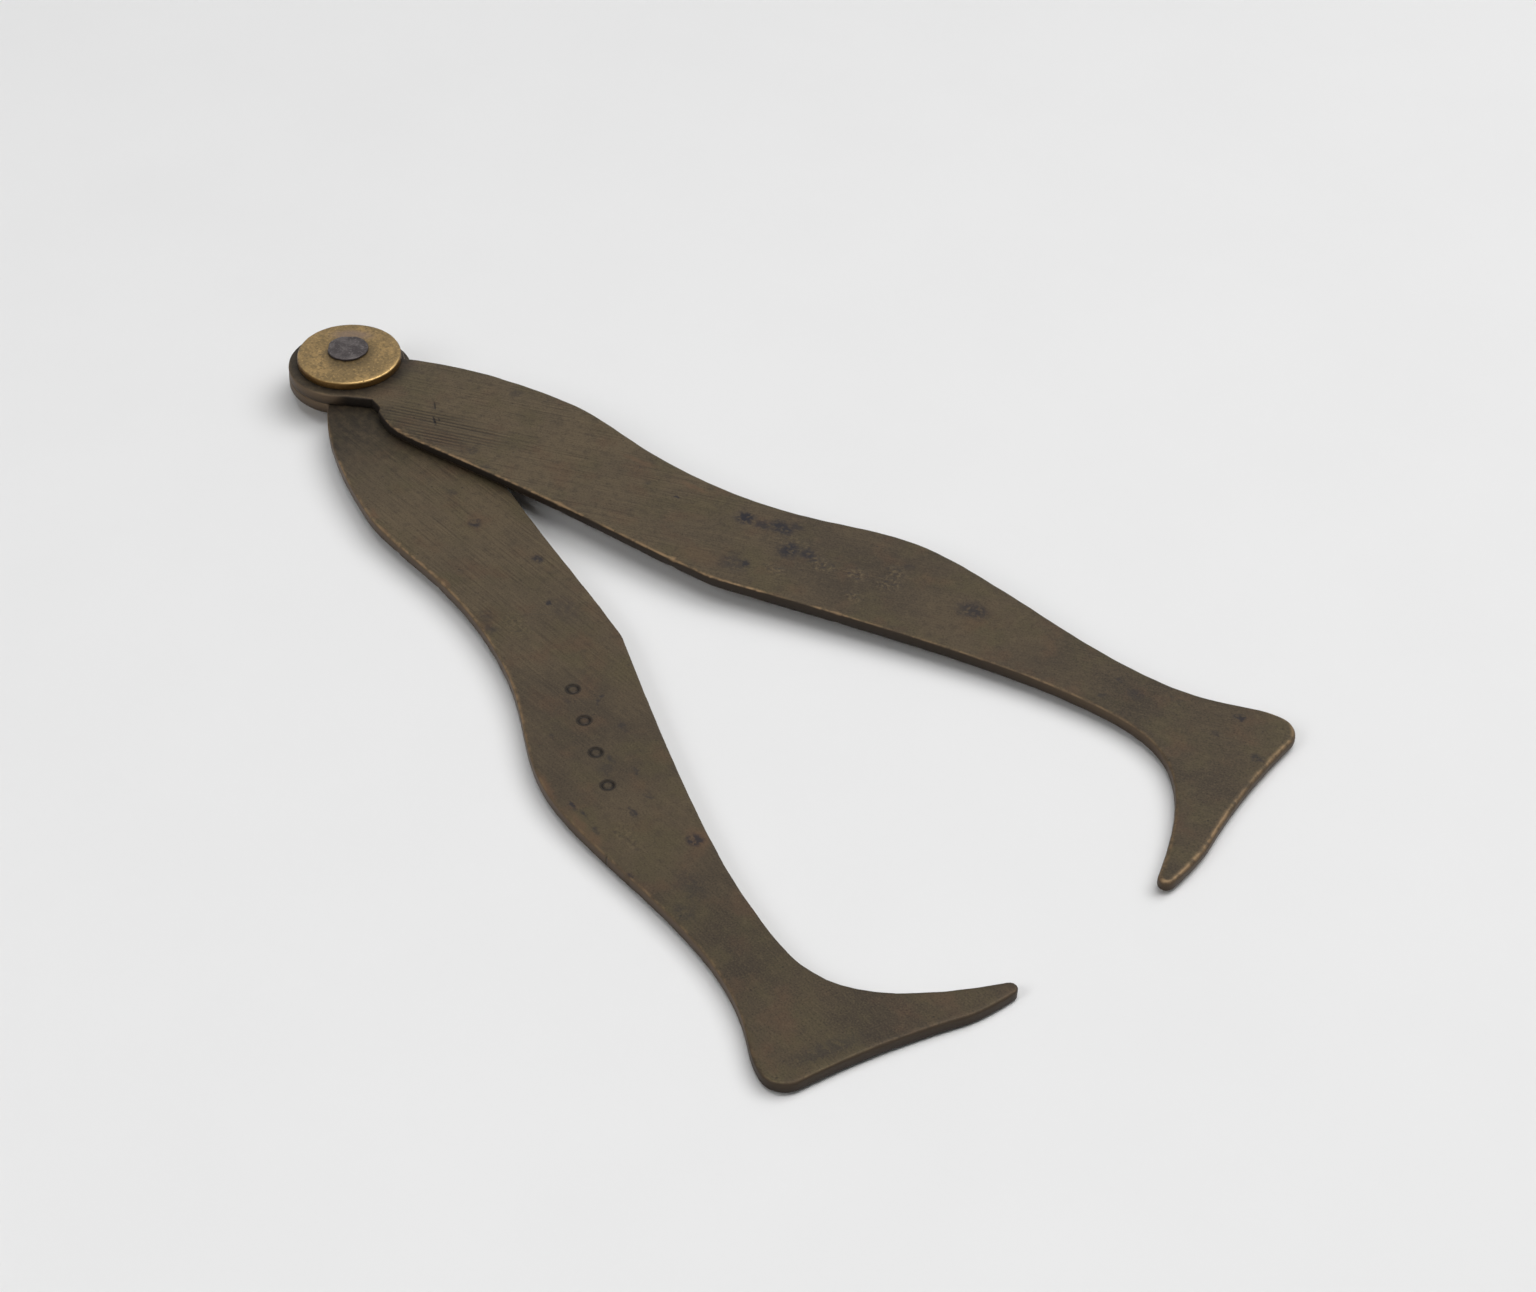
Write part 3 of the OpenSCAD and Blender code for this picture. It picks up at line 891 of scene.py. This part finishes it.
def leg_finish(leg, look):
    """Brown patina with file marks, stains and grime, painted shade round the hip and on the walls, and edges
    rubbed bare with a painted highlight on those that face the camera.
    """
    finish = Finish(leg.slot)
    place = finish.place(turn=-HALF_OPEN, mirror=leg.mirror)
    flat = finish.vector("MULTIPLY", place, (1, 1, 0))
    from_pivot = finish.vector("LENGTH", flat)
    clouds = finish.noise(place, 0.12, 4)
    olive = finish.noise(finish.moved(place, shift=(31, 7, 0)), 0.22, 4)
    red = finish.noise(finish.moved(place, shift=(3, 57, 0)), 0.3, 5)
    mottle = finish.noise(finish.moved(place, shift=(17, 23, 0)), 1.3, 5)
    grain = finish.noise(place, 6, 3)
    bunches = finish.ease(finish.noise(finish.moved(flat, shift=(5, 11, 0)), 0.35, 3), 0.35, 0.65, 0.4, 1)
    filed = finish.times(bunches, finish.ease(from_pivot, 34, 66, 1, 0.3))
    fine_lines = finish.file_lines(flat, leg.file_turn, 5, 30)
    broad_lines = finish.file_lines(flat, leg.file_turn + math.radians(2), 1.8, 40)
    speckle = finish.ease(finish.noise(flat, 1.8, 5), 0.36, 0.52, 0.2, 1)
    stain = finish.times(finish.spots(flat, leg.stains, 0.6), speckle)
    pitted = finish.spots(flat, leg.pitted, 0.6)
    dents = finish.noise(flat, 2.4, 3)
    pits = finish.pits(flat, 0.8, 0.13, 0.35)
    scratches = finish.spots(flat, leg.scratches)
    # Painted shade and soot round the hip: beside the washer on the upper plate, and beside the upper plate
    # on the lower one
    shade = finish.ease(from_pivot, leg.shade.near, leg.shade.far, leg.shade.depth, 0)
    shade = finish.times(shade, finish.ease(mottle, 0.3, 0.6, 0.7, 1))
    broken = finish.ease(finish.noise(place, 1.6, 4), 0.3, 0.6, 0.35, 1)
    rubbed = finish.times(finish.share("worn"), broken)

    wall = wall_paint(finish, leg, look, place, from_pivot)
    rise = finish.rise
    skin = finish.coats(
        look.patina_dark,
        (look.patina, rise(clouds, 0.35, 0.62)),
        (look.patina_gold, rise(from_pivot, 60, 40, 0.3)),
        (look.soot_and_shade, rise(from_pivot, 66, 98, 0.28)),
        (look.patina_olive, rise(olive, 0.45, 0.68, 0.7)),
        (look.patina_red, rise(red, 0.5, 0.72, 0.6)),
        (look.patina_dark, rise(mottle, 0.5, 0.7, 0.55)),
        (look.patina_gold, rise(mottle, 0.47, 0.3, 0.12)),
        (look.patina_gold, filed, rise(fine_lines, 0.5, 0.72, 0.4)),
        (look.soot_and_shade, filed, rise(fine_lines, 0.5, 0.28, 0.45)),
        (look.patina_gold, filed, rise(broad_lines, 0.5, 0.75, 0.12)),
        (look.soot_and_shade, rise(grain, 0.5, 0.75, 0.45)),
        (look.patina_gold, rise(grain, 0.5, 0.25, 0.25)),
        # Lighter on the raised parts of the pitted patches and darker in their hollows: painted highlight and
        # painted shade
        (look.patina_gold, pitted, rise(dents, 0.5, 0.62, 0.55)),
        (look.stain, pitted, rise(dents, 0.48, 0.3, 0.6)),
        (look.rust, finish.spots(flat, leg.rust, 0.5), 0.6),
        (look.stain, stain),
        (look.soot_and_shade, shade),
        (wall, rise(finish.share("side"), 0.35, 0.95)),
        # Bare metal on the rubbed edges, and a painted highlight on the edges that face the camera
        (look.bare, rise(rubbed, 0.08, 0.95, 0.8)),
        (look.soot_and_shade, finish.most(finish.times(pits, 0.7), scratches)),
        (look.soot_and_shade, finish.share("dirt"), 0.72),
    )
    return finish.surface(
        Base_Color=skin,
        Metallic=finish.ease(rubbed, 0, 0.8, 0.5, 0.9),
        Roughness=finish.plus(finish.ease(clouds, 0.3, 0.7, 0.5, 0.58), finish.times(stain, 0.12)),
        Specular_IOR_Level=0.25,
        Normal=finish.relief(
            (fine_lines, filed, 0.01),
            (broad_lines, filed, 0.005),
            (grain, 0.004),
            (pits, -0.03),
            (scratches, -0.05),
            (pitted, dents, 0.09),
            (stain, mottle, -0.03),
        ),
    )


def brass_finish(slot, look):
    """Rubbed golden brass with tarnish, pits, a brown side and a painted highlight on the rim."""
    finish = Finish(slot)
    place = finish.place()
    flat = finish.vector("MULTIPLY", place, (1, 1, 0))
    clouds = finish.noise(place, 0.4, 4)
    mottle = finish.noise(place, 1.6, 5)
    grain = finish.noise(place, 3.6, 5)
    pits = finish.pits(flat, 1.9, 0.2, 0.45)
    rise = finish.rise
    face = finish.coats(
        look.tarnish,
        (look.brass, rise(clouds, 0.35, 0.65)),
        (look.tarnish, rise(mottle, 0.46, 0.62, 0.9)),
        (look.rim, rise(grain, 0.52, 0.7, 0.3)),
        (look.grime, rise(grain, 0.46, 0.3, 0.5)),
        (look.veil, finish.spots(flat, [WASHER_BLOOM], 0.5)),
        (look.grime, rise(finish.vector("LENGTH", flat), 3.2, 2.0, 0.5)),
        (look.wall, rise(finish.share("side"), 0.4, 0.95)),
        # Painted highlight along the rim
        (look.rim, finish.share("worn"), finish.ease(mottle, 0.35, 0.6, 0.5, 1)),
        (look.grime, pits, 0.85),
    )
    return finish.surface(
        Base_Color=face,
        Metallic=0.8,
        Roughness=finish.ease(clouds, 0.3, 0.7, 0.48, 0.38),
        Normal=finish.relief((mottle, 0.03), (grain, 0.008), (pits, -0.05)),
    )


def iron_finish(slot, look):
    """Purple-grey hammered iron with bright grains, and painted shade on the sides of the heads."""
    finish = Finish(slot)
    place = finish.place()
    fine = finish.noise(place, 4.5, 4)
    broad = finish.noise(finish.moved(place, shift=(2, 5, 0)), 0.8, 3)
    rise = finish.rise
    face = finish.coats(
        look.iron,
        (look.soot_and_shade, rise(broad, 0.62, 0.4, 0.8)),
        (look.glint, rise(fine, 0.55, 0.8, 0.6)),
        (look.soot_and_shade, rise(fine, 0.45, 0.25, 0.5)),
        # Painted shade on the sides of the heads
        (look.soot_and_shade, rise(finish.share("side"), 0.3, 0.95)),
    )
    return finish.surface(
        Base_Color=face,
        Metallic=0.6,
        Roughness=finish.ease(fine, 0.3, 0.7, 0.58, 0.44),
        Normal=finish.relief((fine, 0.05), (broad, 0.08)),
    )


def paper_finish(look):
    """Pale paper, kept pale far from the caliper where it is seen or mirrored."""
    finish = Finish("paper")
    place = finish.place()
    fibres = finish.noise(place, 0.05, 3)
    from_pivot = finish.vector("LENGTH", place)
    far = finish.rise(from_pivot, look.far_from / MM, look.far_to / MM, look.far_glow)
    duller = [0.99 * share for share in look.floor]
    return finish.surface(
        Base_Color=finish.coats(look.floor, (duller, finish.rise(fibres, 0.3, 0.7))),
        Roughness=0.9,
        Specular_IOR_Level=0.1,
        Emission_Color=(1, 1, 1),
        Emission_Strength=finish.times(far, finish.seen()),
    )


# Washers and rivet


def washer_shell(node, look, up):
    """Washer with a worn rim and a dented face, whose face looks up or down."""
    low, high = (corner.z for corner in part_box(node))
    outer, inner = (np.hypot(*loop.T).max() for loop in flat_loops(node, top=not up)[:2])
    back, face = (low, high) if up else (high, low)
    sign = 1 if up else -1
    way = circle(look.turns)
    strayed = outer - look.wobble * ragged(way * outer, 2.5 * MM, "rim")
    rounding = look.rim_round * (0.7 + 0.6 * ragged(way * outer, 1.5 * MM, "rim rounding"))
    # Painted highlight, strongest on one stretch of the rim
    rub = (0.5 + 0.5 * way @ turned(1, 0, RIM_HIGHLIGHT)) ** 8
    rub = rub * (0.5 + 0.7 * ragged(way * outer, 1.2 * MM, "rim rubbing"))

    def inset(depth):
        return way * np.reshape(strayed - depth, (-1, 1))

    def fall(depth):
        return look.crown * (1 - ease(depth, 0, look.crown_reach))

    def level(_, drop):
        return face - sign * (drop + fall(rounding))

    shell = Shell()
    rings = [shell.ring(way * inner, back, side=1)]
    rings.append(shell.ring(inset(BACK_BEVEL), back, side=1))
    rings.append(shell.ring(inset(0), back + sign * BACK_BEVEL, side=1))
    rings += shell.worn_edge(inset, level, rounding, rub)
    for share in np.linspace(0, 1, 16)[1:]:
        depth = rounding + share * (strayed - rounding - inner)
        places = inset(depth)
        dent = look.dents * ragged(places, 1.1 * MM, "face dents") * math.sin(math.pi * share) ** 0.5
        height = face - sign * (dent + fall(depth))
        rings.append(shell.ring(places, height, worn=rub * max(0, 0.3 - 2 * share)))
    rings.append(rings[0])
    shell.bands(*(rings if up else [ring[::-1] for ring in rings]))
    return shell


def hammered_flat(way):
    """Shares of a head's radius that are left where it is hammered flat."""
    left = np.ones(len(way))
    for turn, share in RIVET_FLATS:
        lean = way @ turned(1, 0, math.radians(turn))
        left = np.minimum(left, share / np.maximum(lean, share))
    return left


def rivet_shell(look):
    """Shank with two heads, hammered out of round."""
    low, high = (corner.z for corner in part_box("rivet"))
    bottom_washer, top_washer = (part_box(node) for node in ("bottom_washer", "top_washer"))
    seats = (bottom_washer[0].z, top_washer[1].z)
    shank = np.hypot(*flat_loops("top_washer", top=False)[1].T).max()
    top_loop = flat_loops("rivet", top=True)[0]
    top_middle = (top_loop.min(0) + top_loop.max(0)) / 2
    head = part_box("rivet")[1].y - top_middle[1]
    way = circle(look.turns)
    shell = Shell()

    def head_rings(middle, seat, crown, end):
        sign = 1 if crown > seat else -1
        radius = head * hammered_flat(way) - look.wobble * ragged(way * head, 1.1 * MM, end + " head")

        def spot(reach):
            return middle + way * np.reshape(reach, (-1, 1))

        def inset(depth):
            return spot(radius - depth)

        def level(_, drop):
            return crown - sign * (drop + look.hammer * DOMED)

        found = [shell.ring(inset(HEAD_TUCK), seat, side=1), *shell.worn_edge(inset, level, look.head_round)]
        for share in np.linspace(1, 0.06, 12)[1:]:
            places = spot((radius - look.head_round) * share)
            struck = DOMED * share * share + (1 - DOMED) * ragged(places, 0.7 * MM, end + " hammering")
            found.append(shell.ring(places, crown - sign * look.hammer * struck))
        return found

    bottom = head_rings(np.zeros(2), seats[0], low, "bottom")
    top = head_rings(top_middle, seats[1], high, "top")
    shank_rings = [shell.ring(way * shank, height, side=1) for height in seats]
    shell.bands(*reversed(bottom), *shank_rings, *top)
    shell.cap(bottom[-1], up=False)
    shell.cap(top[-1], up=True)
    return shell


# Stage


def floor_heights(x, y, look):
    """Heights of the floor, which rises from the rivet to both feet and sags or swells between."""
    gone = x / CAD_BOX[1].x
    aside = np.tanh(y / look.floor_ease)
    heights = np.clip(gone, -0.5, 1.5) * (look.floor_rise + look.floor_swell * aside) - look.floor_drop
    # The sag under the upper leg is deeper than the swell under the lower one
    return heights - look.floor_sag * (aside + 0.3) * np.sin(math.pi * np.clip(gone, 0, 1))


def lay_floor(scene, look):
    """Pale sheet of paper, which swells a little to meet both feet."""
    foot = CAD_BOX[1].x
    end = look.floor_side / 2
    lines = np.concatenate([[-end], np.linspace(-foot, 2 * foot, FLOOR_LINES), [end]])
    x, y = (grid.ravel() for grid in np.meshgrid(lines, lines))
    count = len(lines)
    corners = [row * count + column for row in range(count - 1) for column in range(count - 1)]
    quads = [(i, i + 1, i + count + 1, i + count) for i in corners]
    mesh = bpy.data.meshes.new("floor")
    mesh.from_pydata(np.column_stack([x, y, floor_heights(x, y, look)]).tolist(), [], quads)
    mesh.shade_smooth()
    mesh.materials.append(paper_finish(look))
    floor = bpy.data.objects.new("floor", mesh)
    scene.collection.objects.link(floor)


def hang_light(scene, look, lamp):
    """Square soft light that faces the caliper."""
    low, high = CAD_BOX
    rise = math.radians(lamp.rise)
    bearing = look.heading - math.pi / 2 + math.radians(lamp.turn)
    way = Vector((*turned(math.cos(rise), 0, bearing), math.sin(rise)))
    panel = bpy.data.lights.new(lamp.name, "AREA")
    panel.shape = "SQUARE"
    panel.size = lamp.side
    panel.energy = lamp.watts * look.light
    light = bpy.data.objects.new(lamp.name, panel)
    light.location = (low + high) / 2 + way * look.light_reach
    light.rotation_euler = (-way).to_track_quat("-Z", "Y").to_euler()
    scene.collection.objects.link(light)


def light_room(scene, look):
    """Dim light from all round, in a room that is pale where it is seen or mirrored."""
    world = bpy.data.worlds.new("room")
    world.use_nodes = True
    nodes = Nodes(world.node_tree)
    background = nodes.tree.nodes["Background"].inputs
    nodes.feed(background["Color"], (1, 1, 1))
    nodes.feed(background["Strength"], nodes.ease(nodes.seen(), 0, 1, look.fill, look.backdrop))
    scene.world = world


def stand_camera(scene, look):
    """Camera that looks down on the caliper from beside the feet."""
    camera = bpy.data.objects.new("camera", bpy.data.cameras.new("camera"))
    camera.data.sensor_fit = "HORIZONTAL"
    camera.data.sensor_width = SENSOR
    camera.data.lens = look.lens
    camera.data.clip_start = SEEN_FROM
    turn = Matrix.Rotation(look.heading - math.pi / 2, 4, "Z")
    lean = Matrix.Rotation(math.pi / 2 - look.pitch, 4, "X")
    roll = Matrix.Rotation(look.roll, 4, "Z")
    camera.matrix_world = Matrix.Translation(look.eye) @ turn @ lean @ roll
    scene.collection.objects.link(camera)
    scene.camera = camera


# Operators and panel


class CALIPER_OT_legs(bpy.types.Operator):
    """Dress the two plates"""

    bl_idname = "caliper.legs"
    bl_label = "Legs"

    def execute(self, context):
        look = context.scene.caliper_legs
        for leg in (LOWER_LEG, UPPER_LEG):
            name = leg.node + "_plate"
            stand_in_for(leg.node, name, leg_shell(leg, look), leg_finish(leg, look), leg.body, leg.slot)
        return {"FINISHED"}


class CALIPER_OT_washers(bpy.types.Operator):
    """Dress the two washers"""

    bl_idname = "caliper.washers"
    bl_label = "Washers"

    def execute(self, context):
        look = context.scene.caliper_washers
        finish = brass_finish("worn_brass", look)
        for node, up in (("bottom_washer", False), ("top_washer", True)):
            stand_in_for(node, node + "_disc", washer_shell(node, look, up), finish, "lower", "worn_brass")
        return {"FINISHED"}


class CALIPER_OT_rivet(bpy.types.Operator):
    """Dress the rivet"""

    bl_idname = "caliper.rivet"
    bl_label = "Rivet"

    def execute(self, context):
        look = context.scene.caliper_rivet
        stand_in_for("rivet", "rivet_hammered", rivet_shell(look), iron_finish("iron", look), "lower", "iron")
        return {"FINISHED"}


class CALIPER_OT_stage(bpy.types.Operator):
    """Set the floor, the light and the camera"""

    bl_idname = "caliper.stage"
    bl_label = "Stage"

    def execute(self, context):
        scene = context.scene
        look = scene.caliper_stage
        lay_floor(scene, look)
        for lamp in LAMPS:
            hang_light(scene, look, lamp)
        light_room(scene, look)
        stand_camera(scene, look)
        scene.view_settings.view_transform = "Standard"
        return {"FINISHED"}


class CALIPER_PT_panel(bpy.types.Panel):
    """Steps and values of the caliper"""

    bl_label = "Leg Caliper"
    bl_idname = "CALIPER_PT_panel"
    bl_space_type = "VIEW_3D"
    bl_region_type = "UI"
    bl_category = "Caliper"

    def draw(self, context):
        for step in STEPS:
            box = self.layout.box()
            box.operator(step.operator.bl_idname)
            look = getattr(context.scene, step.name)
            for name in step.group.__annotations__:
                box.prop(look, name)


Step = namedtuple("Step", "name group operator")
STEPS = (
    Step("caliper_legs", LegLook, CALIPER_OT_legs),
    Step("caliper_washers", WasherLook, CALIPER_OT_washers),
    Step("caliper_rivet", RivetLook, CALIPER_OT_rivet),
    Step("caliper_stage", StageLook, CALIPER_OT_stage),
)


def register():
    """Makes the steps and their values known."""
    for step in STEPS:
        bpy.utils.register_class(step.group)
        bpy.utils.register_class(step.operator)
        setattr(bpy.types.Scene, step.name, PointerProperty(type=step.group))
    bpy.utils.register_class(CALIPER_PT_panel)


def unregister():
    """Takes the steps and their values away."""
    bpy.utils.unregister_class(CALIPER_PT_panel)
    for step in reversed(STEPS):
        delattr(bpy.types.Scene, step.name)
        bpy.utils.unregister_class(step.operator)
        bpy.utils.unregister_class(step.group)


def main():
    """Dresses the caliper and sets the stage."""
    register()
    bpy.ops.caliper.legs()
    bpy.ops.caliper.washers()
    bpy.ops.caliper.rivet()
    bpy.ops.caliper.stage()


if __name__ == "__main__":
    main()
